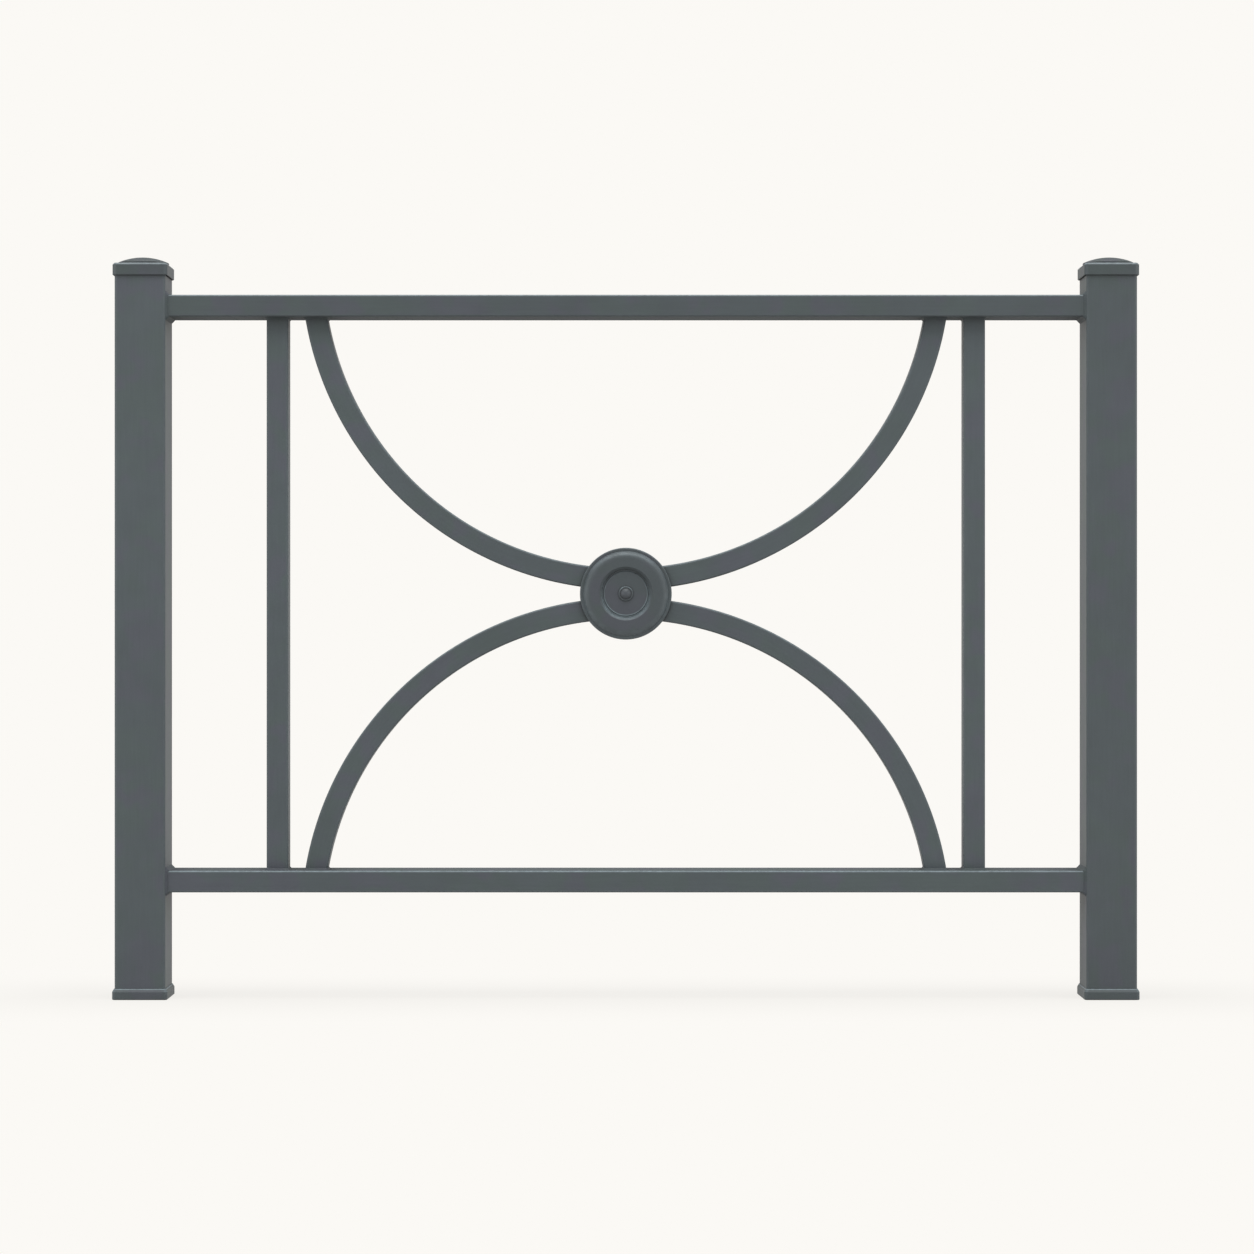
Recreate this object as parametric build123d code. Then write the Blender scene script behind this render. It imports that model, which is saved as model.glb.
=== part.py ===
from build123d import *
from math import acos, atan, cos, degrees, radians, sin, tan
import os

# Street barrier: two square posts on shoes, two flat rails, two uprights, two bent
# tube arcs meeting back to back, and a turned rosette clamped over their crowns.
# Millimetres, +Z up. The origin is the middle of the left foot's underside, +X runs
# to the right post, and the front of the barrier faces -Y.

# Overall sizes
post_spacing = 1340.0           # between the posts' centre lines
post_top = 1013.0               # the tubes' upper ends, above the ground
arc_foot_spacing = 53.5         # from an upright's centre line to an arc's, at the rail

# Posts, feet and caps
post_width = 70.0
post_wall = 3.0
tube_corner_ratio = 1.3         # a rolled tube's outer corner radius over its wall
foot_overhang = 3.2             # how far a foot stands out from the post's face
foot_height = 15.2
foot_slope_height = 4.2
foot_plate = 5.0                # the floor of the foot, which the tube stands on
foot_clearance = 0.15
foot_lip = 0.5                  # the flat left at the top of the foot's slope
foot_corner = 5.2
foot_shoulder_round = 0.8       # where the slope meets the upright sides
foot_bottom_round = 1.4
cap_wall = 2.7
cap_clearance = 0.2
cap_skirt = 14.0                # how far the cap reaches down over the tube
cap_plate = 3.0
cap_corner = 6.8
cap_bevel = 2.4                 # round the top of the cap, at 45 degrees
cap_bottom_round = 1.2
dome_margin = 0.3               # from the bevel to the dome, at the middle of a side
dome_rise = 10.6                # above the plate
dome_edge = 3.0                 # the upright edge at the dome's foot
dome_edge_round = 1.4
dome_wall = 4.0                 # over the middle of the well
well_ledge = 1.5                # what the plate covers inside the tube's wall
well_top_radius = 15.0

# Rails
rail_height = 30.0
rail_depth = 60.0
rail_wall = 2.0
bottom_rail_level = 162.5       # centre line above the ground
top_rail_drop = 55.5            # from the tubes' upper ends down to the centre line

# Uprights and arcs, of one square tube
bar_width = 30.0
bar_wall = 2.0
upright_offset = 187.5          # from a post's centre line to an upright's
crown_gap = 11.0                # between the arcs' crowns, behind the rosette

# Rosette, as radii and as heights above its flat back
rosette_radius = 63.5
rosette_thickness = 13.0
rim_width = 4.5
rim_height = 5.5
rim_round = 1.8
shoulder_width = 9.5
shoulder_step = 1.2             # the small step from the rim up to the shoulder
recess_radius = 37.2
recess_bevel = 3.4              # from the ring down into the recess, at 45 degrees
centre_disc_radius = 31.0
centre_disc_height = 9.0
centre_disc_bevel = 0.8
groove_floor_width = 2.2
groove_depth = 1.8              # below the centre disc's face
bolt_diameter = 8.0
bolt_clearance = 0.5
washer_radius = 10.0
washer_thickness = 2.2
washer_bevel = 0.7
bolt_head_radius = 7.0
bolt_head_height = 4.2
bolt_head_edge = 0.8            # the straight edge under the cup head
nut_across_flats = 13.0
nut_hex_height = 5.0
nut_height = 11.0
nut_dome_radius = 5.9
nut_thread_depth = 8.0

# Weld beads
rail_weld_leg = 4.4
bar_weld_leg = 3.0
weld_toe = 0.25                 # the bead's thickness where it runs out
weld_root = 2.5                 # how far a rail bead follows the post's round corner

# Places that follow from the sizes above
post_face = post_width / 2
post_corner = tube_corner_ratio * post_wall
rail_corner = tube_corner_ratio * rail_wall
bar_corner = tube_corner_ratio * bar_wall
middle_x = post_spacing / 2
top_rail_level = post_top - top_rail_drop
top_rail_underside = top_rail_level - rail_height / 2
bottom_rail_top = bottom_rail_level + rail_height / 2
middle_z = (top_rail_underside + bottom_rail_top) / 2
upright_reach = middle_x - upright_offset
arc_reach = upright_reach - arc_foot_spacing
arc_drop = top_rail_underside - middle_z - crown_gap / 2 - bar_width / 2
arc_radius = (arc_reach ** 2 + arc_drop ** 2) / (2 * arc_drop)
arc_half_angle = degrees(acos((arc_radius - arc_drop) / arc_radius))
arc_lean = radians(90 - arc_half_angle)


def tube_outline(width, depth, corner):
    """The filled outline of a rectangular tube."""
    return RectangleRounded(width, depth, corner)


def tube_section(width, depth, wall):
    """The ring that a rectangular tube of even wall shows where it is cut."""
    corner = tube_corner_ratio * wall
    return RectangleRounded(width, depth, corner) - Rectangle(width - 2 * wall, depth - 2 * wall)


def post(x):
    section = tube_section(post_width, post_width, post_wall)
    return Pos(x, 0, foot_plate) * extrude(section, post_top - foot_plate)


def foot(x):
    """A shoe with a flat underside, upright sides and a slope up to the post."""
    base_width = post_width + 2 * foot_overhang
    socket_width = post_width + 2 * foot_clearance
    top_width = socket_width + 2 * foot_lip
    top_corner = foot_corner - (base_width - top_width) / 2
    side_height = foot_height - foot_slope_height
    sides = extrude(RectangleRounded(base_width, base_width, foot_corner), side_height)
    slope_foot = Pos(0, 0, side_height) * RectangleRounded(base_width, base_width, foot_corner)
    slope_top = Pos(0, 0, foot_height) * RectangleRounded(top_width, top_width, top_corner)
    shoe = sides + loft([slope_foot, slope_top], ruled=True)
    shoulder = shoe.edges().filter_by_position(Axis.Z, side_height, side_height)
    shoe = fillet(shoulder, foot_shoulder_round)
    shoe = fillet(shoe.faces().sort_by(Axis.Z)[0].edges(), foot_bottom_round)
    socket_outline = tube_outline(socket_width, socket_width, post_corner + foot_clearance)
    socket = Pos(0, 0, foot_plate) * extrude(socket_outline, foot_height)
    return Pos(x, 0, 0) * (shoe - socket)


def cap(x):
    """A cast cap: a skirt over the tube, a bevelled plate on its end, and a low dome."""
    inside_width = post_width + 2 * cap_clearance
    outside_width = inside_width + 2 * cap_wall
    skirt_bottom = post_top - cap_skirt
    plate_top = post_top + cap_plate
    body = extrude(RectangleRounded(outside_width, outside_width, cap_corner), plate_top - skirt_bottom)
    body = chamfer(body.faces().sort_by(Axis.Z)[-1].edges(), cap_bevel)
    body = fillet(body.faces().sort_by(Axis.Z)[0].edges(), cap_bottom_round)
    body = Pos(0, 0, skirt_bottom) * body

    skirt_outline = tube_outline(inside_width, inside_width, post_corner + cap_clearance)
    skirt_space = Pos(0, 0, skirt_bottom) * extrude(skirt_outline, cap_skirt)
    dome = Pos(0, 0, plate_top) * cap_dome(outside_width / 2 - cap_bevel - dome_margin)
    well_height = cap_plate + dome_rise - dome_wall
    well = Cone(post_face - post_wall - well_ledge, well_top_radius, well_height)
    well = Pos(0, 0, post_top + well_height / 2) * well
    return Pos(x, 0, 0) * (body + dome - skirt_space - well)


def cap_dome(radius):
    """The turned dome, with a rounded upright edge at its foot."""
    crown_rise = dome_rise - dome_edge
    crown_radius = (radius ** 2 + crown_rise ** 2) / (2 * crown_rise)
    sides = Polyline((0, dome_rise), (0, -cap_plate / 2), (radius, -cap_plate / 2), (radius, dome_edge))
    crown = RadiusArc((radius, dome_edge), (0, dome_rise), -crown_radius)
    profile = make_face([sides, crown])
    profile = fillet(profile.vertices().sort_by_distance((radius, dome_edge))[0], dome_edge_round)
    return revolve(Plane.XZ * profile, Axis.Z)


def rail(level):
    section = tube_section(rail_depth, rail_height, rail_wall)
    length = post_spacing - post_width
    left_end = Plane(origin=(post_face, 0, level), x_dir=(0, 1, 0), z_dir=(1, 0, 0))
    return left_end * extrude(section, length)


def upright(x):
    section = tube_section(bar_width, bar_width, bar_wall)
    return Pos(x, 0, bottom_rail_top) * extrude(section, top_rail_underside - bottom_rail_top)


def upper_arc(section):
    """A bar of this section rolled to a circle, its two ends cut flat at the top rail."""
    past_the_cut = 4.0
    centre_z = middle_z + crown_gap / 2 + bar_width / 2 + arc_radius
    turning_axis = Axis((middle_x, 0, centre_z), (0, 1, 0))
    start = radians(arc_half_angle + past_the_cut)
    start_plane = Plane(
        origin=(middle_x + arc_radius * sin(start), 0, centre_z - arc_radius * cos(start)),
        x_dir=(sin(start), 0, -cos(start)),
        z_dir=(cos(start), 0, sin(start)),
    )
    ring = revolve(start_plane * section, turning_axis, 2 * (arc_half_angle + past_the_cut))
    return split(ring, bisect_by=Plane.XY.offset(top_rail_underside), keep=Keep.BOTTOM)


def upside_down(shape):
    """The same piece turned over about the barrier's middle height."""
    return shape.mirror(Plane.XY.offset(middle_z))


def to_the_right(shape):
    """The same piece on the other side of the barrier's middle."""
    return shape.mirror(Plane.YZ.offset(middle_x))


def rosette():
    """The front disc: rim, step, rounded shoulder, flat ring, bevelled recess and disc."""
    shoulder_radius = rosette_radius - rim_width
    ring_radius = shoulder_radius - shoulder_width
    groove_radius = centre_disc_radius + groove_floor_width
    groove_floor = centre_disc_height - groove_depth
    hole_radius = bolt_diameter / 2 + bolt_clearance
    face = rosette_thickness
    shoulder_foot = rim_height + shoulder_step

    back = Line((hole_radius, 0), (rosette_radius, 0))
    rim = FilletPolyline(
        (rosette_radius, 0),
        (rosette_radius, rim_height),
        (shoulder_radius, rim_height),
        (shoulder_radius, shoulder_foot),
        radius=[rim_round, 0],
    )
    shoulder = TangentArc((ring_radius, face), (shoulder_radius, shoulder_foot), tangent=(1, 0))
    inside = Polyline(
        (ring_radius, face),
        (recess_radius, face),
        (recess_radius - recess_bevel, face - recess_bevel),
        (groove_radius, groove_floor),
        (centre_disc_radius, groove_floor),
        (centre_disc_radius, centre_disc_height - centre_disc_bevel),
        (centre_disc_radius - centre_disc_bevel, centre_disc_height),
        (hole_radius, centre_disc_height),
        (hole_radius, 0),
    )
    profile = make_face([back, rim, shoulder, inside])
    return turned_on_bolt(profile, bar_width / 2)


def turned_on_bolt(profile, height):
    """Turns a profile of radius and height about the bolt, height in front of middle."""
    seat = Plane(origin=(middle_x, -height, middle_z), x_dir=(1, 0, 0), z_dir=(0, 0, -1))
    return revolve(seat * profile, Axis((middle_x, 0, middle_z), (0, 1, 0)))


def washer():
    hole_radius = bolt_diameter / 2 + bolt_clearance
    profile = Polyline(
        (hole_radius, 0),
        (washer_radius, 0),
        (washer_radius, washer_thickness - washer_bevel),
        (washer_radius - washer_bevel, washer_thickness),
        (hole_radius, washer_thickness),
        close=True,
    )
    return turned_on_bolt(make_face(profile), bar_width / 2 + centre_disc_height)


def bolt():
    """A smooth cup head in front, and a shank that ends inside the cap nut."""
    head_seat = bar_width / 2 + centre_disc_height + washer_thickness
    shank_length = 2 * head_seat + nut_thread_depth
    cup_rise = bolt_head_height - bolt_head_edge
    cup_radius = (bolt_head_radius ** 2 + cup_rise ** 2) / (2 * cup_rise)
    shank_radius = bolt_diameter / 2
    sides = Polyline(
        (0, bolt_head_height),
        (0, -shank_length),
        (shank_radius, -shank_length),
        (shank_radius, 0),
        (bolt_head_radius, 0),
        (bolt_head_radius, bolt_head_edge),
    )
    cup = RadiusArc((bolt_head_radius, bolt_head_edge), (0, bolt_head_height), -cup_radius)
    return turned_on_bolt(make_face([sides, cup]), head_seat)


def cap_nut():
    """A low hexagon nut closed by a dome, on the back."""
    seat_y = bar_width / 2 + centre_disc_height + washer_thickness
    seat = Plane(origin=(middle_x, seat_y, middle_z), x_dir=(1, 0, 0), z_dir=(0, 1, 0))
    corner_radius = nut_across_flats / 3 ** 0.5
    hexagon = extrude(RegularPolygon(corner_radius, 6), nut_hex_height)
    bevel_height = (corner_radius - nut_across_flats / 2) * tan(radians(30))
    bevel = Polyline(
        (0, 0),
        (corner_radius, 0),
        (corner_radius, nut_hex_height - bevel_height),
        (nut_across_flats / 2, nut_hex_height),
        (0, nut_hex_height),
        close=True,
    )
    hexagon = hexagon & revolve(Plane.XZ * make_face(bevel), Axis.Z)
    dome_height = nut_height - nut_hex_height
    neck = dome_height - nut_dome_radius / 2
    dome_ball = (nut_dome_radius ** 2 + (nut_dome_radius / 2) ** 2) / nut_dome_radius
    dome_sides = Polyline((nut_dome_radius, neck), (nut_dome_radius, 0), (0, 0), (0, dome_height))
    dome_top = RadiusArc((nut_dome_radius, neck), (0, dome_height), -dome_ball)
    dome = revolve(Plane.XZ * make_face([dome_sides, dome_top]), Axis.Z)
    thread = extrude(Circle(bolt_diameter / 2), nut_thread_depth)
    return seat * (hexagon + Pos(0, 0, nut_hex_height) * dome - thread)


def bead_outline(width, depth, corner, reach):
    return RectangleRounded(width + 2 * reach, depth + 2 * reach, corner + reach)


def bead(width, depth, corner, leg):
    """A flat-faced fillet weld round a tube that stands on the XY plane."""
    lean = degrees(atan((leg - weld_toe) / leg))
    return extrude(bead_outline(width, depth, corner, leg), leg, taper=lean)


def rail_weld(level):
    """Round the rail's end; its root follows the post's rounded corners."""
    face_outline = bead_outline(rail_depth, rail_height, rail_corner, rail_weld_leg)
    slope = bead(rail_depth, rail_height, rail_corner, rail_weld_leg)
    root = Pos(0, 0, -weld_root) * extrude(face_outline, weld_root)
    tube = tube_outline(rail_depth, rail_height, rail_corner)
    tube_space = Pos(0, 0, -weld_root) * extrude(tube, 2 * weld_root + rail_weld_leg)
    at_post = Plane(origin=(post_face, 0, level), x_dir=(0, 1, 0), z_dir=(1, 0, 0))
    post_space = extrude(tube_outline(post_width, post_width, post_corner), post_top)
    return at_post * (slope + root - tube_space) - post_space


def upright_weld():
    """Round the left upright's lower end."""
    tube = extrude(tube_outline(bar_width, bar_width, bar_corner), bar_weld_leg)
    ring = bead(bar_width, bar_width, bar_corner, bar_weld_leg) - tube
    return Pos(upright_offset, 0, bottom_rail_top) * ring


def arc_weld():
    """Round the lower arc's left end, which leans a little from upright."""
    slant_width = bar_width / cos(arc_lean)
    shift = bar_weld_leg * tan(arc_lean)
    base = bead_outline(slant_width, bar_width, bar_corner, bar_weld_leg)
    tip = Pos(shift, 0, bar_weld_leg) * bead_outline(slant_width, bar_width, bar_corner, weld_toe)
    slope = loft([base, tip], ruled=True)
    arc_space = upside_down(upper_arc(tube_outline(bar_width, bar_width, bar_corner)))
    return Pos(middle_x - arc_reach, 0, bottom_rail_top) * slope - arc_space


def write(name, shape):
    export_step(shape, f"parts/{name}.step")


def main():
    os.makedirs("parts", exist_ok=True)

    for side, x in (("left", 0.0), ("right", post_spacing)):
        write(f"{side}_post", post(x))
        write(f"{side}_foot", foot(x))
        write(f"{side}_post_cap", cap(x))

    write("left_upright", upright(upright_offset))
    write("right_upright", upright(post_spacing - upright_offset))

    for name, level in (("top_rail", top_rail_level), ("bottom_rail", bottom_rail_level)):
        write(name, rail(level))
        left_weld = rail_weld(level)
        write(f"{name}_left_weld", left_weld)
        write(f"{name}_right_weld", to_the_right(left_weld))

    arc = upper_arc(tube_section(bar_width, bar_width, bar_wall))
    write("upper_arc", arc)
    write("lower_arc", upside_down(arc))

    low_weld = upright_weld()
    write("left_upright_bottom_weld", low_weld)
    write("left_upright_top_weld", upside_down(low_weld))
    write("right_upright_bottom_weld", to_the_right(low_weld))
    write("right_upright_top_weld", to_the_right(upside_down(low_weld)))

    low_weld = arc_weld()
    write("lower_arc_left_weld", low_weld)
    write("upper_arc_left_weld", upside_down(low_weld))
    write("lower_arc_right_weld", to_the_right(low_weld))
    write("upper_arc_right_weld", to_the_right(upside_down(low_weld)))

    front_disc = rosette()
    write("rosette_front", front_disc)
    write("rosette_back", front_disc.mirror(Plane.XZ))
    front_washer = washer()
    write("rosette_front_washer", front_washer)
    write("rosette_back_washer", front_washer.mirror(Plane.XZ))
    write("rosette_bolt", bolt())
    write("rosette_back_nut", cap_nut())


main()
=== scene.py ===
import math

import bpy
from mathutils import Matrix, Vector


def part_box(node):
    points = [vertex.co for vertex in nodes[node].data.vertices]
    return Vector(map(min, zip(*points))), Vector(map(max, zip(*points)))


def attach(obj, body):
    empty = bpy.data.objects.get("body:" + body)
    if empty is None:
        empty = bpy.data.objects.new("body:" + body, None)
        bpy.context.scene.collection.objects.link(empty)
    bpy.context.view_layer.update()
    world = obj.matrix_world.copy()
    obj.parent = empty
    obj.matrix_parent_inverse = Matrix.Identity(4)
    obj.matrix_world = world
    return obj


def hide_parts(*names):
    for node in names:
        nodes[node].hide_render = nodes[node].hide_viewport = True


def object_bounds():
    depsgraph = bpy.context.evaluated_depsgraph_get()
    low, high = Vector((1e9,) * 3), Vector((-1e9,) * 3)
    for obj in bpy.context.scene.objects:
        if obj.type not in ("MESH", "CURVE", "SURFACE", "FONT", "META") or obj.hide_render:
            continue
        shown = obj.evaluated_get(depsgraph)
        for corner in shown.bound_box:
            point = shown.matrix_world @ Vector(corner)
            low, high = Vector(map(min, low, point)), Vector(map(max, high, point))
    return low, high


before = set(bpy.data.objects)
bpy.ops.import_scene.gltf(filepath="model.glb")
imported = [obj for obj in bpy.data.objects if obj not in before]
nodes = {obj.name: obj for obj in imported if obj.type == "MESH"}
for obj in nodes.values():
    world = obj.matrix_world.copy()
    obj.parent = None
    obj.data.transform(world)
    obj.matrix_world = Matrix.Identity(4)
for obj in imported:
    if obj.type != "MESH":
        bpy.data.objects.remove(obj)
cad_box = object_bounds()


# The posts are 70 mm square steel tubes with a 3 mm wall. The whole barrier is powder
# coated after welding, so every piece has the same satin basalt grey with a fine orange
# peel. Its upper edges are painted paler, part wear and part painted highlight, and painted
# shade darkens its creases, undersides, the faces under ledges and the parts near the ground.

coat_grey = (0.0560, 0.0710, 0.0793)
coat_green_grey = (0.0550, 0.0730, 0.0763)
coat_violet_grey = (0.0600, 0.0685, 0.0845)
coat_roughness = 0.54
coat_index = 1.5                # how strongly the film bends light
post_tones = {"left": 1.05, "right": 0.95}

noise_span = (0.3, 0.7)         # what a noise goes through from its low to its high places
drift_scale = 3.2               # scales are in cells a metre, sizes and reaches in metres
drift_span = (0.25, 0.75)
drift_share = 0.05
patch_scale = 26.0
patch_share = 0.035
patch_mattness = 0.10
streak_scale = 420.0
streak_stretch = 0.05
streak_share = 0.03
speck_span = (0.35, 0.75)
speck_shades = (0.97, 1.05)
green_scale = 19.0
green_span = (0.45, 0.62)
violet_scale = 23.0
violet_span = (0.48, 0.64)
violet_offset = (3.1, 5.7, 2.3)
grain_size = 0.0006
grain_relief = 0.2
peel_size = 0.0024
peel_height = 0.00006
peel_strength = 0.35
skin_height = 0.00010
skin_strength = 0.6

# Edges are paler all round as wear, and paler still where they face up, as a painted highlight.
edge_paleness = 0.20
upward_highlight = 1.30
highlight_slopes = (0.15, 0.60)    # slopes are the upward share of a face's direction
tube_corner_reach = 0.0034
corner_core = 0.35              # where along that reach the mask is full
broken_scale = 140.0            # wear, painted highlights and painted shade come in small patches, and this much of them is everywhere
broken_least = 0.55             # and this much of them is everywhere
# painted shade in creases and between parts, from an occlusion node
crease_reach = 0.007
crease_darkness = 0.50
crease_open = (0.30, 0.85)
# painted shade under rails and other ledges, from an occlusion that looks upward
shelter_reach = 0.060
shelter_darkness = 0.45
shelter_open = (0.30, 0.80)
shade_lean = 0.8                 # how much further up the painted shade under ledges looks than the face itself
# painted shade on faces that look down
underside_slopes = (-0.85, -0.10)
underside_darkness = 0.36
# painted shade low down, darker towards the ground
ground_shade_heights = (0.022, 0.110)
ground_shade_darkness = 0.07
level_slopes = (0.80, 0.98)
level_mattness = 0.32
occlusion_samples = 6
smooth_up_to = 32               # the angle in degrees past which an edge looks sharp


def add(tree, kind, inputs=None, **settings):
    """Adds a shader node; an input is a number, a colour or another node's socket."""
    made = tree.nodes.new(kind)
    for name, value in settings.items():
        setattr(made, name, value)
    for name, value in (inputs or {}).items():
        if isinstance(value, bpy.types.NodeSocket):
            tree.links.new(value, made.inputs[name])
        else:
            made.inputs[name].default_value = value
    return made


def maths(tree, operation, first, second=0.0, third=0.0):
    return add(tree, "ShaderNodeMath", {0: first, 1: second, 2: third}, operation=operation).outputs[0]


def between(tree, value, low, high, from_value=0.0, to_value=1.0):
    """A smooth step from one value to another as the input passes from low to high."""
    inputs = {"Value": value, "From Min": low, "From Max": high, "To Min": from_value, "To Max": to_value}
    made = add(tree, "ShaderNodeMapRange", inputs, interpolation_type="SMOOTHSTEP")
    return made.outputs["Result"]


def uneven(tree, noise, share, middle=1.0, span=noise_span):
    """A shade that goes a share up or down from its middle as a noise crosses its span."""
    return between(tree, noise, *span, (1 - share) * middle, (1 + share) * middle)


def cloud(tree, place, scale, detail=2.0, roughness=0.5):
    inputs = {"Vector": place, "Scale": scale, "Detail": detail, "Roughness": roughness}
    return add(tree, "ShaderNodeTexNoise", inputs).outputs["Fac"]


def blend(tree, factor, first, second, blend_type="MIX"):
    inputs = {"Factor": factor, "A": first, "B": second}
    made = add(tree, "ShaderNodeMix", inputs, data_type="RGBA", blend_type=blend_type)
    return made.outputs["Result"]


def moved(tree, place, way):
    return add(tree, "ShaderNodeVectorMath", {0: place, 1: way}, operation="ADD").outputs["Vector"]


def parts_of(tree, vector):
    return add(tree, "ShaderNodeSeparateXYZ", {"Vector": vector}).outputs


def from_middle(tree, place, middle):
    """The place measured from a piece's middle, as its three lengths."""
    away = add(tree, "ShaderNodeVectorMath", {0: place, 1: middle}, operation="SUBTRACT")
    return parts_of(tree, away.outputs["Vector"])


def corner_mask(tree, first, first_half, second, second_half, reach):
    """1 on a tube's long corner and 0 a few millimetres away from it on either face."""
    near = []
    for length, half in ((first, first_half), (second, second_half)):
        near.append(between(tree, maths(tree, "ABSOLUTE", length), half - reach, half - reach * corner_core))
    return maths(tree, "MULTIPLY", near[0], near[1])


def tube_form(tree, first, first_half, second, second_half, along, wear_and_highlight_weight=1.0):
    """What a tube gives its coat: pale corners, part wear and part painted highlight, and faint streaks
    along its length.
    """
    squeezed = maths(tree, "MULTIPLY", along, streak_stretch)
    lengthwise = add(tree, "ShaderNodeCombineXYZ", {"X": first, "Y": second, "Z": squeezed})
    corner = corner_mask(tree, first, first_half, second, second_half, tube_corner_reach)
    return {
        "wear_and_highlight": maths(tree, "MULTIPLY", corner, wear_and_highlight_weight),
        "streak": cloud(tree, lengthwise.outputs["Vector"], streak_scale, detail=3.0),
    }


def middle_and_half(name):
    low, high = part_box(name)
    return (low + high) / 2, (high - low) / 2


def straight_tube(name, along, wear_and_highlight_weight=1.0):
    middle, half = middle_and_half(name)
    first, second = (axis for axis in "XYZ" if axis != along)

    def form(tree, place):
        part = from_middle(tree, place, middle)
        first_half, second_half = (half["XYZ".index(axis)] for axis in (first, second))
        return tube_form(tree, part[first], first_half, part[second], second_half, part[along], wear_and_highlight_weight)
    return form


def film_colour(tree, place, piece):
    """The coat's grey with green and violet patches, but plain grey on its pale edges and painted
    highlights.
    """
    tint_kept = 1.0
    for use in ("wear_and_highlight", "lower_highlight"):
        if use in piece:
            untouched = maths(tree, "MAXIMUM", maths(tree, "SUBTRACT", 1.0, piece[use]), 0.0)
            tint_kept = maths(tree, "MULTIPLY", tint_kept, untouched)
    green = between(tree, cloud(tree, place, green_scale), *green_span)
    violet = between(tree, cloud(tree, moved(tree, place, violet_offset), violet_scale), *violet_span)
    green = maths(tree, "MULTIPLY", green, tint_kept)
    violet = maths(tree, "MULTIPLY", violet, tint_kept)
    colour = blend(tree, green, (*coat_grey, 1.0), (*coat_green_grey, 1.0))
    return blend(tree, violet, colour, (*coat_violet_grey, 1.0))


def wear_and_painted_light(tree, place, piece, geometry, crease_shade, shelter):
    """Painted light and shade with some wear: pale edges, painted highlights low on the discs, painted shade
    rings, and painted shade in creases, under ledges, on undersides and near the ground.
    """
    upward = parts_of(tree, geometry["Normal"])["Z"]
    broken = between(tree, cloud(tree, place, broken_scale, detail=3.0), *noise_span, broken_least, 1.0)
    shades = []
    # pale edges: wear all round, and a painted highlight where they face up
    if "wear_and_highlight" in piece:
        paleness_and_highlight = between(tree, upward, *highlight_slopes, edge_paleness, edge_paleness + upward_highlight)
        paleness_and_highlight = maths(tree, "MULTIPLY", paleness_and_highlight, broken)
        shades.append(maths(tree, "MULTIPLY_ADD", piece["wear_and_highlight"], paleness_and_highlight, 1.0))
    # painted highlights along the lower side of the rosette's middle disc
    if "lower_highlight" in piece:
        shades.append(maths(tree, "MULTIPLY_ADD", piece["lower_highlight"], broken, 1.0))
    # painted shade rings round the washers and the bolt's head
    if "painted_shade" in piece:
        shades.append(maths(tree, "SUBTRACT", 1.0, maths(tree, "MULTIPLY", piece["painted_shade"], broken)))

    # painted shade in creases and between parts
    around = {"Distance": crease_reach}
    openness = add(tree, "ShaderNodeAmbientOcclusion", around, samples=occlusion_samples).outputs["AO"]
    crease = maths(tree, "MULTIPLY", between(tree, openness, *crease_open, crease_shade, 0.0), broken)
    shades.append(maths(tree, "SUBTRACT", 1.0, crease))
    # painted shade under rails and other ledges
    above = {"Distance": shelter_reach, "Normal": moved(tree, geometry["Normal"], (0.0, 0.0, shade_lean))}
    open_above = add(tree, "ShaderNodeAmbientOcclusion", above, samples=occlusion_samples).outputs["AO"]
    shades.append(between(tree, open_above, *shelter_open, 1 - shelter, 1.0))
    # painted shade on faces that look down
    shades.append(between(tree, upward, *underside_slopes, 1 - underside_darkness, 1.0))
    # painted shade, darker towards the ground
    height = parts_of(tree, geometry["Position"])["Z"]
    shades.append(between(tree, height, *ground_shade_heights, 1 - ground_shade_darkness, 1.0))
    return shades


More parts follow.
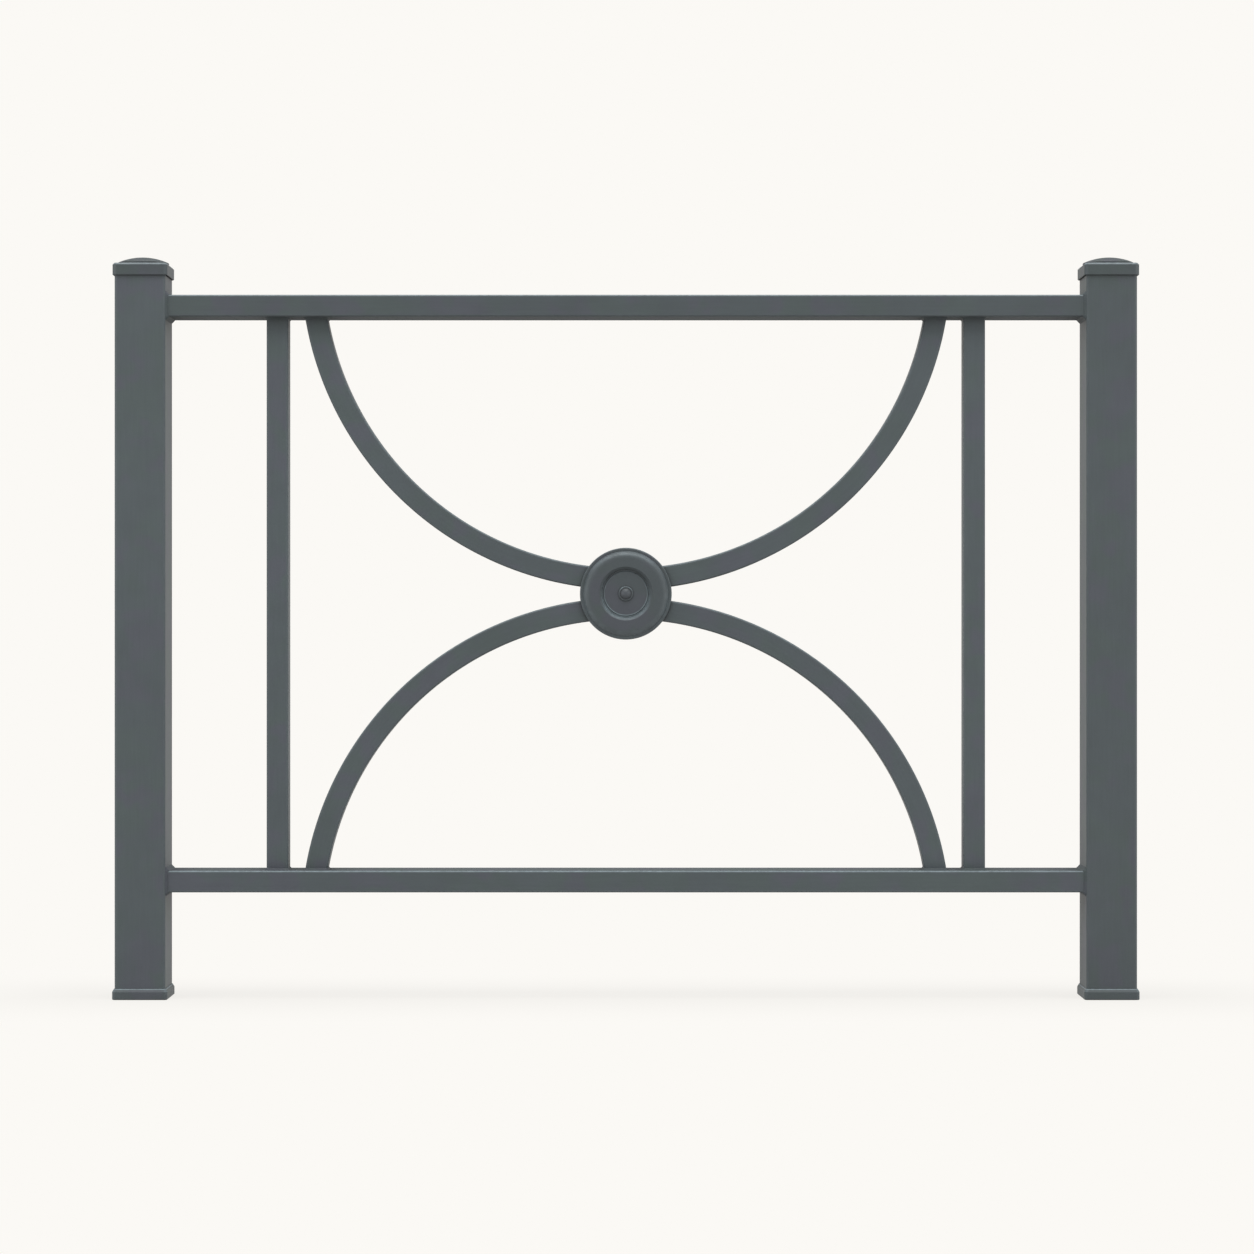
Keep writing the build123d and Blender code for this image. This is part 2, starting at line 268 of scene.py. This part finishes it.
def powder_coat(
    name, form=None, tone=1.0, roughness=coat_roughness, crease_shade=crease_darkness, shelter=shelter_darkness,
):
    """The barrier's coat. The form says where a piece's coat is worn or painted with highlight or shade,
    streaked or in relief.
    """
    material = bpy.data.materials.new(name)
    material.use_nodes = True
    tree = material.node_tree
    tree.nodes.clear()
    place = add(tree, "ShaderNodeTexCoord").outputs["Object"]
    geometry = add(tree, "ShaderNodeNewGeometry").outputs
    piece = form(tree, place) if form else {}

    drift = cloud(tree, place, drift_scale, detail=3.0)
    patches = cloud(tree, place, patch_scale, detail=4.0, roughness=0.6)
    specks = cloud(tree, place, 1 / grain_size, detail=1.0)
    shade = uneven(tree, drift, drift_share, tone, drift_span)
    shades = [uneven(tree, patches, patch_share), between(tree, specks, *speck_span, *speck_shades)]
    if "streak" in piece:
        shades.append(uneven(tree, piece["streak"], streak_share))
    shades.extend(wear_and_painted_light(tree, place, piece, geometry, crease_shade, shelter))
    for other in shades:
        shade = maths(tree, "MULTIPLY", shade, other)
    colour = blend(tree, 1.0, film_colour(tree, place, piece), shade, "MULTIPLY")

    upward = parts_of(tree, geometry["Normal"])["Z"]
    level = between(tree, maths(tree, "ABSOLUTE", upward), *level_slopes)
    dusty = maths(tree, "MULTIPLY_ADD", level, level_mattness, roughness - patch_mattness / 2)
    gloss = maths(tree, "MULTIPLY_ADD", patches, patch_mattness, dusty)

    peel = cloud(tree, place, 1 / peel_size, detail=1.5, roughness=0.4)
    bumps = maths(tree, "MULTIPLY_ADD", specks, grain_relief, peel)
    inputs = {"Strength": peel_strength, "Distance": peel_height, "Height": bumps}
    relief = add(tree, "ShaderNodeBump", inputs).outputs["Normal"]
    if "relief" in piece:
        inputs = {"Strength": skin_strength, "Distance": skin_height, "Height": piece["relief"]}
        relief = add(tree, "ShaderNodeBump", {**inputs, "Normal": relief}).outputs["Normal"]

    surface = {"Base Color": colour, "Roughness": gloss, "Normal": relief, "IOR": coat_index}
    shader = add(tree, "ShaderNodeBsdfPrincipled", surface).outputs["BSDF"]
    add(tree, "ShaderNodeOutputMaterial", {"Surface": shader})
    return material


def coat_node(name, material):
    """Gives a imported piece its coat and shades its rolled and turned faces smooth."""
    mesh = nodes[name].data
    mesh.materials.clear()
    mesh.materials.append(material)
    mesh.shade_smooth()
    mesh.set_sharp_from_angle(angle=math.radians(smooth_up_to))


for side, tone in post_tones.items():
    coat_node(f"{side}_post", powder_coat(f"{side} post coat", straight_tube(f"{side}_post", "Z"), tone))


# Each post stands in a shoe: a square cast steel foot with upright sides and a slope that
# leads rain away from the tube. The grain of its cast skin still shows through the coat.

foot_tone = 0.98
foot_crease_shade = 0.15
foot_edges = {0.0146: 2.1, 0.0110: 0.3}     # a height above the ground, and how strong the pale line is there, part wear and part painted highlight
foot_edge_spread = 0.0014
foot_corner_reach = 0.006
foot_skin_scale = 420.0


def shoe_form(name):
    middle, half = middle_and_half(name)

    def form(tree, place):
        part = from_middle(tree, place, middle)
        wear_and_highlight = corner_mask(tree, part["X"], half.x, part["Y"], half.y, foot_corner_reach)
        for edge, weight in foot_edges.items():
            off = maths(tree, "ABSOLUTE", maths(tree, "ADD", part["Z"], half.z - edge))
            wear_and_highlight = maths(tree, "MAXIMUM", wear_and_highlight, between(tree, off, 0.0, foot_edge_spread, weight, 0.0))
        return {"wear_and_highlight": wear_and_highlight, "relief": cloud(tree, place, foot_skin_scale, detail=3.0)}
    return form


for side in ("left", "right"):
    name = f"{side}_foot"
    coat_node(name, powder_coat(f"{side} foot coat", shoe_form(name), foot_tone, crease_shade=foot_crease_shade))


# The two rails are 60 by 30 mm steel tubes laid flat, cut square and butted to the inner
# faces of the posts, where they are welded all round.

# the top rail's darker tone is painted shade where light falls off towards the top
rail_tones = {"bottom_rail": 1.03, "top_rail": 0.92}
# the rails' pale edges are part wear and part painted highlight
rail_wear_and_highlight = 1.5

for name, tone in rail_tones.items():
    coat_node(name, powder_coat(f"{name} coat", straight_tube(name, "X", rail_wear_and_highlight), tone))


# The uprights are 30 mm square steel tubes that stand between the rails near the posts,
# cut to the gap and welded at both ends.

bar_tone = 1.03

for side in ("left", "right"):
    name = f"{side}_upright"
    coat_node(name, powder_coat(f"{side} upright coat", straight_tube(name, "Z"), bar_tone))


# The arcs are the same 30 mm tube rolled to a radius of about 435 mm, with their ends
# cut flat to sit on the rails. Their crowns stop 11 mm apart behind the rosette.

import bmesh

bar_half = middle_and_half("left_upright")[1].x
tube_corner = 0.0026            # the rolled corners of the rails' and bars' tube
corner_steps = 6
corner_margin = 0.0008          # a narrow strip beside each corner, so that the faces shade flat
arc_steps = 220


def arc_circle(name):
    """The centre and radius of a rolled tube's middle line, and the level of its ends."""
    low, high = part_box(name)
    crown, ends = (low.z, high.z) if name == "upper_arc" else (high.z, low.z)
    drop = abs(ends - crown)
    reach = (high.x - low.x) / 2
    radius = (reach ** 2 + drop ** 2) / (2 * drop)
    centre_z = crown + math.copysign(radius, ends - crown)
    return Vector(((low.x + high.x) / 2, 0.0, centre_z)), radius - bar_half, ends


def distance_from_axis(tree, part):
    """How far a place lies from an axis that runs from front to back."""
    flat = add(tree, "ShaderNodeCombineXYZ", {"X": part["X"], "Z": part["Z"]}).outputs["Vector"]
    return add(tree, "ShaderNodeVectorMath", {0: flat}, operation="LENGTH").outputs["Value"]


def rolled_tube(name):
    centre, radius, _ = arc_circle(name)

    def form(tree, place):
        part = from_middle(tree, place, centre)
        across = maths(tree, "SUBTRACT", distance_from_axis(tree, part), radius)
        upward = maths(tree, "ABSOLUTE", part["Z"])
        along = maths(tree, "MULTIPLY", maths(tree, "ARCTAN2", part["X"], upward), radius)
        return tube_form(tree, across, bar_half, part["Y"], bar_half, along)
    return form


def square_outline(half, corner):
    """Points round a square tube, close together only on its rounded corners."""
    flat = half - corner
    for quarter in range(4):
        turned = quarter * math.pi / 2
        face = Vector((math.cos(turned), math.sin(turned)))
        following = Vector((-face.y, face.x))
        yield face * half + following * (flat - corner_margin)
        for step in range(corner_steps + 1):
            angle = math.pi / 2 * step / corner_steps
            yield (face + following) * flat + (face * math.cos(angle) + following * math.sin(angle)) * corner
        yield following * half + face * (flat - corner_margin)


def join_rings(mesh, rings):
    for ring, following in zip(rings, rings[1:]):
        for corners in zip(ring, ring[1:] + ring[:1], following[1:] + following[:1], following):
            mesh.faces.new(corners)


def bent_tube(name):
    """The rolled tube as a fine closed mesh. Each line along it is an arc that ends on a rail."""
    centre, radius, ends = arc_circle(name)
    upright = math.copysign(1.0, ends - centre.z)
    rise = abs(ends - centre.z)
    lines = []
    for point in square_outline(bar_half, tube_corner):
        reach = radius + point.x
        lines.append((reach, point.y, math.acos(rise / reach)))
    tube = bmesh.new()
    rings = []
    for step in range(arc_steps + 1):
        share = 2 * step / arc_steps - 1
        ring = []
        for reach, y, half_turn in lines:
            turn = half_turn * share
            x = centre.x + reach * math.sin(turn)
            z = centre.z + upright * reach * math.cos(turn)
            ring.append(tube.verts.new((x, y, z)))
        rings.append(ring)
    join_rings(tube, rings)
    tube.faces.new(rings[0])
    tube.faces.new(rings[-1])
    return tube


def stand_for(node, built, name, material, smooth_angle=smooth_up_to):
    """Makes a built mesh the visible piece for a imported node, with its coat and its body."""
    bmesh.ops.recalc_face_normals(built, faces=built.faces)
    mesh = bpy.data.meshes.new(name)
    built.to_mesh(mesh)
    built.free()
    mesh.shade_smooth()
    mesh.set_sharp_from_angle(angle=math.radians(smooth_angle))
    mesh.materials.append(material)
    piece = bpy.data.objects.new(name, mesh)
    bpy.context.scene.collection.objects.link(piece)
    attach(piece, "root")
    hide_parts(node)


for name in ("lower_arc", "upper_arc"):
    arc_coat = powder_coat(f"{name} coat", rolled_tube(name), bar_tone)
    stand_for(name, bent_tube(name), f"{name}_bent_tube", arc_coat)


# Every tube end is joined by a fillet of weld metal all round. The welder lays it in short
# overlapping ripples, fuller over and under the rails, and the powder coat softens them.

from mathutils import noise

post_corner = 0.0039
rail_bead_leg = 0.0037
rail_bead_fuller = 0.50         # how much fuller the long runs over and under a rail are
bar_bead_leg = 0.0030
bead_sink = 0.0003              # how far a bead's hidden sides lie inside the tubes
bead_hollow = 0.05              # how hollow the bead's face is, as a share of its leg
bead_face_points = 9
ripple_length = 0.0030
ripple_points = 6
ripple_height = 0.00030
ripple_roundness = 0.7
ripple_bow = 0.45               # how far a ripple's middle runs ahead of its ends
slant = 0.7                     # what a lift square to the bead's slanted face gives each leg
bead_wander = 0.07              # the uneven hand of the welder, as a share of the leg
wander_scale = 160.0
wander_by_joint = Vector((9.0, 0.0, 5.0))   # gives each joint its own stretch of the noise
weld_tone = 0.94
weld_roughness = 0.72
weld_crease_shade = 0.25
weld_smooth_angle = 60

weld_coat = powder_coat("weld coat", tone=weld_tone, roughness=weld_roughness, crease_shade=weld_crease_shade)


def walk_round(half_width, half_depth, steps):
    """Places round a tube's outline, evenly spaced, each with its outward direction."""
    straights = (2 * (half_depth - tube_corner), 2 * (half_width - tube_corner))
    quarter = math.pi / 2 * tube_corner
    around = 2 * sum(straights) + 4 * quarter
    corner_middles = ((1, 1), (-1, 1), (-1, -1), (1, -1))
    for step in range(steps):
        way = around * step / steps
        side = 0
        while way > straights[side % 2] + quarter:
            way -= straights[side % 2] + quarter
            side += 1
        straight = straights[side % 2]
        angle = side * math.pi / 2 + max(way - straight, 0.0) / tube_corner
        outward = Vector((math.cos(angle), math.sin(angle)))
        travel = Vector((-math.sin(side * math.pi / 2), math.cos(side * math.pi / 2)))
        x_sign, y_sign = corner_middles[side]
        middle = Vector((x_sign * (half_width - tube_corner), y_sign * (half_depth - tube_corner)))
        yield middle + outward * tube_corner - travel * max(straight - way, 0.0), outward


def bead_section(leg, reach, progress):
    """Points across the bead: its root, then its rippled face from one leg's end to the other's."""
    yield -bead_sink, -bead_sink
    for number in range(bead_face_points):
        share = number / (bead_face_points - 1)
        bow = math.sin(math.pi * share)
        phase = (progress + ripple_bow * bow) % 1.0
        ripple = ripple_height * math.sin(math.pi * phase) ** ripple_roundness
        lift = bow * (ripple - bead_hollow * leg) * slant
        out = (reach + bead_sink) * (1 - share) - bead_sink
        up = (reach + bead_sink) * share - bead_sink
        yield out + lift, up + lift


def lay_bead(
    node, origin, across, depth, away, half_width, half_depth, leg, lean=0.0, fuller=0.0, ground=None,
):
    """A rippled fillet weld round a tube's end, as a closed mesh that stands for the node.

    The tube's outline lies across and depth of the origin, and the tube leaves along away.
    """
    around = 4 * (half_width + half_depth) - (8 - 2 * math.pi) * tube_corner
    steps = round(around / ripple_length) * ripple_points
    own_stretch = origin.dot(wander_by_joint)
    bead = bmesh.new()
    rings = []
    for step, (place, outward) in enumerate(walk_round(half_width, half_depth, steps)):
        wander = noise.noise(Vector((place.x * wander_scale, place.y * wander_scale, own_stretch)))
        reach = leg * (1 + bead_wander * wander + fuller * outward.y ** 2)
        ring = []
        for out, up in bead_section(leg, reach, step / ripple_points):
            flat = place + outward * out
            fall = ground(flat) * max(0.0, 1 - up / leg) if ground else 0.0
            point = origin + across * (flat.x + up * lean) + depth * flat.y + away * (up - fall)
            ring.append(bead.verts.new(point))
        rings.append(ring)
    join_rings(bead, rings + rings[:1])
    stand_for(node, bead, f"{node}_bead", weld_coat, weld_smooth_angle)


x_way, y_way, z_way = Vector((1, 0, 0)), Vector((0, 1, 0)), Vector((0, 0, 1))
post_half = middle_and_half("left_post")[1].x


def fall_of_post(flat):
    """How far the post's face lies back at its rounded corner, beyond its flat part."""
    almost_all = 0.98
    past_flat = min(abs(flat.x) - (post_half - post_corner), post_corner * almost_all)
    return post_corner - math.sqrt(post_corner ** 2 - past_flat ** 2) if past_flat > 0 else 0.0


for side, sign in (("left", 1), ("right", -1)):
    face_x = middle_and_half(f"{side}_post")[0].x + sign * post_half
    for rail in ("top_rail", "bottom_rail"):
        middle, half = middle_and_half(rail)
        joint = Vector((face_x, 0.0, middle.z))
        lay_bead(
            f"{rail}_{side}_weld", joint, y_way, z_way, x_way * sign, half.y, half.z,
            rail_bead_leg, fuller=rail_bead_fuller, ground=fall_of_post,
        )
    middle, half = middle_and_half(f"{side}_upright")
    for end, up in (("bottom", 1), ("top", -1)):
        joint = Vector((middle.x, 0.0, middle.z - up * half.z))
        node = f"{side}_upright_{end}_weld"
        lay_bead(node, joint, x_way, y_way, z_way * up, half.x, half.y, bar_bead_leg)
    for arc, up in (("lower_arc", 1), ("upper_arc", -1)):
        centre, radius, ends = arc_circle(arc)
        rise = abs(ends - centre.z)
        outer = math.sqrt((radius + bar_half) ** 2 - rise ** 2)
        inner = math.sqrt((radius - bar_half) ** 2 - rise ** 2)
        joint = Vector((centre.x - sign * (outer + inner) / 2, 0.0, ends))
        lean = sign * math.tan(math.asin(rise / radius))
        lay_bead(
            f"{arc}_{side}_weld", joint, x_way, y_way, z_way * up, (outer - inner) / 2, bar_half,
            bar_bead_leg, lean,
        )


# The rosette is two turned steel discs, one on each face of the arcs. Faint rings from
# the lathe still show through the coat, and the disc's turned edges are painted paler, part wear and part
# painted highlight.

disc_tone = 0.85
disc_roughness = 0.52
disc_crease_shade = 0.15
disc_shelter = 0.08
# Each ring is a radius, a strength and a spread. The edge rings are pale, part wear and part painted
# highlight.
disc_edges = ((0.0300, 0.8, 0.0016), (0.0354, 1.1, 0.0022), (0.0545, 0.9, 0.0070), (0.0628, 1.0, 0.0012))
# painted shade ring round the washer
disc_shade_rings = ((0.0108, 0.45, 0.0012),)
# painted highlights along the lower side of the middle disc
lower_highlight_lines = ((0.0300, 2.4, 0.0014), (0.0326, 3.4, 0.0024), (0.0580, 0.7, 0.0080))
lower_highlight_levels = (-0.026, 0.030)   # from the rosette's middle: full under the first, gone over the second
lathe_pitch = 0.0011
lathe_relief = 0.18
turned_skin_scale = 300.0
rosette_middle = middle_and_half("rosette_front")[0]


def turned_form(edges, painted_shade, lower_highlight):
    """Rings on a turned piece: pale edges, part wear and part painted highlight, painted shade
    rings in its corners, and painted highlights along the lower side of the middle disc.
    """
    def form(tree, place):
        part = from_middle(tree, place, rosette_middle)
        reach = distance_from_axis(tree, part)
        masks = {}
        for use, rings in (("wear_and_highlight", edges), ("painted_shade", painted_shade), ("lower_highlight", lower_highlight)):
            for radius, strength, spread in rings:
                off = maths(tree, "ABSOLUTE", maths(tree, "SUBTRACT", reach, radius))
                ring = between(tree, off, 0.0, spread, strength, 0.0)
                masks[use] = maths(tree, "MAXIMUM", masks[use], ring) if use in masks else ring
        if lower_highlight:
            low = between(tree, part["Z"], *lower_highlight_levels, 1.0, 0.0)
            masks["lower_highlight"] = maths(tree, "MULTIPLY", masks["lower_highlight"], low)
        turning = maths(tree, "SINE", maths(tree, "MULTIPLY", reach, math.tau / lathe_pitch))
        skin = cloud(tree, place, turned_skin_scale)
        return {**masks, "relief": maths(tree, "MULTIPLY_ADD", turning, lathe_relief, skin)}
    return form


disc_form = turned_form(disc_edges, disc_shade_rings, lower_highlight_lines)
disc_coat = powder_coat("rosette disc coat", disc_form, disc_tone, disc_roughness, disc_crease_shade, disc_shelter)
for name in ("rosette_front", "rosette_back"):
    coat_node(name, disc_coat)


# One steel bolt clamps both discs through the gap between the crowns, with a smooth cup
# head in front, a low cap nut behind and a thick washer under each.

bolt_tone = 0.88
bolt_roughness = 0.48
# the washers' edge is pale, part wear and part painted highlight
bolt_edges = ((0.0096, 2.4, 0.0012),)
# painted shade ring round the bolt's head
bolt_shade_rings = ((0.0078, 0.6, 0.0012),)

bolt_form = turned_form(bolt_edges, bolt_shade_rings, lower_highlight=())
bolt_coat = powder_coat("rosette bolt coat", bolt_form, bolt_tone, bolt_roughness)
for name in ("rosette_front_washer", "rosette_back_washer", "rosette_bolt", "rosette_back_nut"):
    coat_node(name, bolt_coat)


# The caps are cast steel: a skirt over the tube's end, a bevelled rim and a low round
# dome. They are pushed on over the tube and coated with it.

# the caps' darker tone is painted shade where light falls off towards the top
cap_tone = 0.80
cap_roughness = 0.53
cap_corner_reach = 0.0065
cap_dome_rise = 0.0106          # from the flat plate to the dome's top
cap_bevel_drop = 0.0024
# the bevelled rim is pale, part wear and part painted highlight
cap_rim_wear_and_highlight = 1.30
cap_rim_fade = 0.0030           # how far in on the flat plate the rim's paleness and painted highlight fade out
cap_skin_scale = 380.0


def cap_form(name):
    middle, half = middle_and_half(name)
    bevel_start = half.x - cap_bevel_drop
    bevel_below_top = cap_dome_rise + cap_bevel_drop / 2

    def form(tree, place):
        part = from_middle(tree, place, middle)
        upright = corner_mask(tree, part["X"], half.x, part["Y"], half.y, cap_corner_reach)
        from_bevel = maths(tree, "ABSOLUTE", maths(tree, "ADD", part["Z"], bevel_below_top - half.z))
        rim = between(tree, from_bevel, cap_bevel_drop / 2, cap_bevel_drop, cap_rim_wear_and_highlight, 0.0)
        sideways = (maths(tree, "ABSOLUTE", part[axis]) for axis in "XY")
        outward = maths(tree, "MAXIMUM", *sideways)
        rim = maths(tree, "MULTIPLY", rim, between(tree, outward, bevel_start - cap_rim_fade, bevel_start))
        skin = cloud(tree, place, cap_skin_scale, detail=3.0)
        return {"wear_and_highlight": maths(tree, "MAXIMUM", upright, rim), "relief": skin}
    return form


for side in ("left", "right"):
    name = f"{side}_post_cap"
    coat_node(name, powder_coat(f"{side} cap coat", cap_form(name), cap_tone, cap_roughness))


# The studio: a pale paper floor that runs into a wall of the same colour, a wide light
# overhead, two tall ones at the sides, and a camera straight in front.

paper = (0.965, 0.947, 0.913, 1.0)
floor_lit = (0.82, 0.805, 0.776, 1.0)
floor_half = 14.0
shadow_share = 0.13
shade_depth = 0.05
shade_from_middle = (0.75, 1.05)    # the floor's soft shade ends between these, along the barrier
shade_from_front = (-0.04, 0.30)    # and between these, away from it
middle_x = (cad_box[0][0] + cad_box[1][0]) / 2
room_light = (0.97, 0.98, 1.0, 1.0)
room_level = 0.42
lamp_light = (1.0, 0.99, 0.97)
lamps_aim = (middle_x, 0.0, 0.55)
overhead_place = (middle_x, -0.9, 4.4)
overhead_size = (4.4, 3.0)
overhead_watts = 172.0
side_lamps = {"left light": (middle_x - 2.6, -1.4, 1.0), "right light": (middle_x + 2.6, -1.4, 1.0)}
side_size = (1.2, 2.0)
side_watts = 18.0
camera_lens = 90.0
camera_sensor = 36.0
camera_distance = 4.320
camera_height = 0.5139
camera_aside = 0.0016


def seen_directly(tree):
    """1 for what the camera, a reflection or a transmission shows, and 0 for lighting."""
    ray = add(tree, "ShaderNodeLightPath").outputs
    seen = maths(tree, "MAXIMUM", ray["Is Camera Ray"], ray["Is Glossy Ray"])
    return maths(tree, "MAXIMUM", seen, ray["Is Transmission Ray"])


floor_mesh = bpy.data.meshes.new("floor")
corner_signs = ((-1, -1), (1, -1), (1, 1), (-1, 1))
floor_corners = [(middle_x + x * floor_half, y * floor_half, 0.0) for x, y in corner_signs]
floor_mesh.from_pydata(floor_corners, [], [(0, 1, 2, 3)])
floor = bpy.data.objects.new("floor", floor_mesh)
bpy.context.scene.collection.objects.link(floor)

floor_material = bpy.data.materials.new("floor paper")
floor_material.use_nodes = True
tree = floor_material.node_tree
tree.nodes.clear()
place = add(tree, "ShaderNodeTexCoord").outputs["Object"]
away = from_middle(tree, place, (middle_x, 0.0, 0.0))
beside = between(tree, maths(tree, "ABSOLUTE", away["X"]), *shade_from_middle, 1.0, 0.0)
near = between(tree, maths(tree, "ABSOLUTE", away["Y"]), *shade_from_front, 1.0, 0.0)
near = maths(tree, "MULTIPLY", near, beside)
share = maths(tree, "MULTIPLY", near, shadow_share)
shade = maths(tree, "MULTIPLY_ADD", near, -shade_depth, 1.0)
lit = add(tree, "ShaderNodeBsdfDiffuse", {"Color": floor_lit}).outputs["BSDF"]
plain = add(tree, "ShaderNodeEmission", {"Color": paper, "Strength": shade}).outputs["Emission"]
shown = add(tree, "ShaderNodeMixShader", {0: share, 1: plain, 2: lit}).outputs["Shader"]
whole = add(tree, "ShaderNodeMixShader", {0: seen_directly(tree), 1: lit, 2: shown}).outputs["Shader"]
add(tree, "ShaderNodeOutputMaterial", {"Surface": whole})
floor_mesh.materials.append(floor_material)

world = bpy.data.worlds.new("studio")
world.use_nodes = True
bpy.context.scene.world = world
tree = world.node_tree
tree.nodes.clear()
backdrop = add(tree, "ShaderNodeBackground", {"Color": paper, "Strength": 1.0}).outputs["Background"]
room = add(tree, "ShaderNodeBackground", {"Color": room_light, "Strength": room_level}).outputs["Background"]
mixed = add(tree, "ShaderNodeMixShader", {0: seen_directly(tree), 1: room, 2: backdrop}).outputs["Shader"]
add(tree, "ShaderNodeOutputWorld", {"Surface": mixed})


def soft_light(name, place, size, watts):
    lamp = bpy.data.lights.new(name, "AREA")
    lamp.shape = "RECTANGLE"
    lamp.size, lamp.size_y = size
    lamp.energy = watts
    lamp.color = lamp_light
    stand = bpy.data.objects.new(name, lamp)
    stand.location = place
    stand.rotation_euler = (Vector(lamps_aim) - Vector(place)).to_track_quat("-Z", "Y").to_euler()
    bpy.context.scene.collection.objects.link(stand)


soft_light("overhead light", overhead_place, overhead_size, overhead_watts)
for name, place in side_lamps.items():
    soft_light(name, place, side_size, side_watts)

camera_data = bpy.data.cameras.new("camera")
camera_data.lens = camera_lens
camera_data.sensor_width = camera_sensor
camera = bpy.data.objects.new("camera", camera_data)
camera.location = (middle_x + camera_aside, -post_half - camera_distance, camera_height)
camera.rotation_euler = (math.radians(90), 0.0, 0.0)
bpy.context.scene.collection.objects.link(camera)
bpy.context.scene.camera = camera
bpy.context.scene.view_settings.view_transform = "Standard"
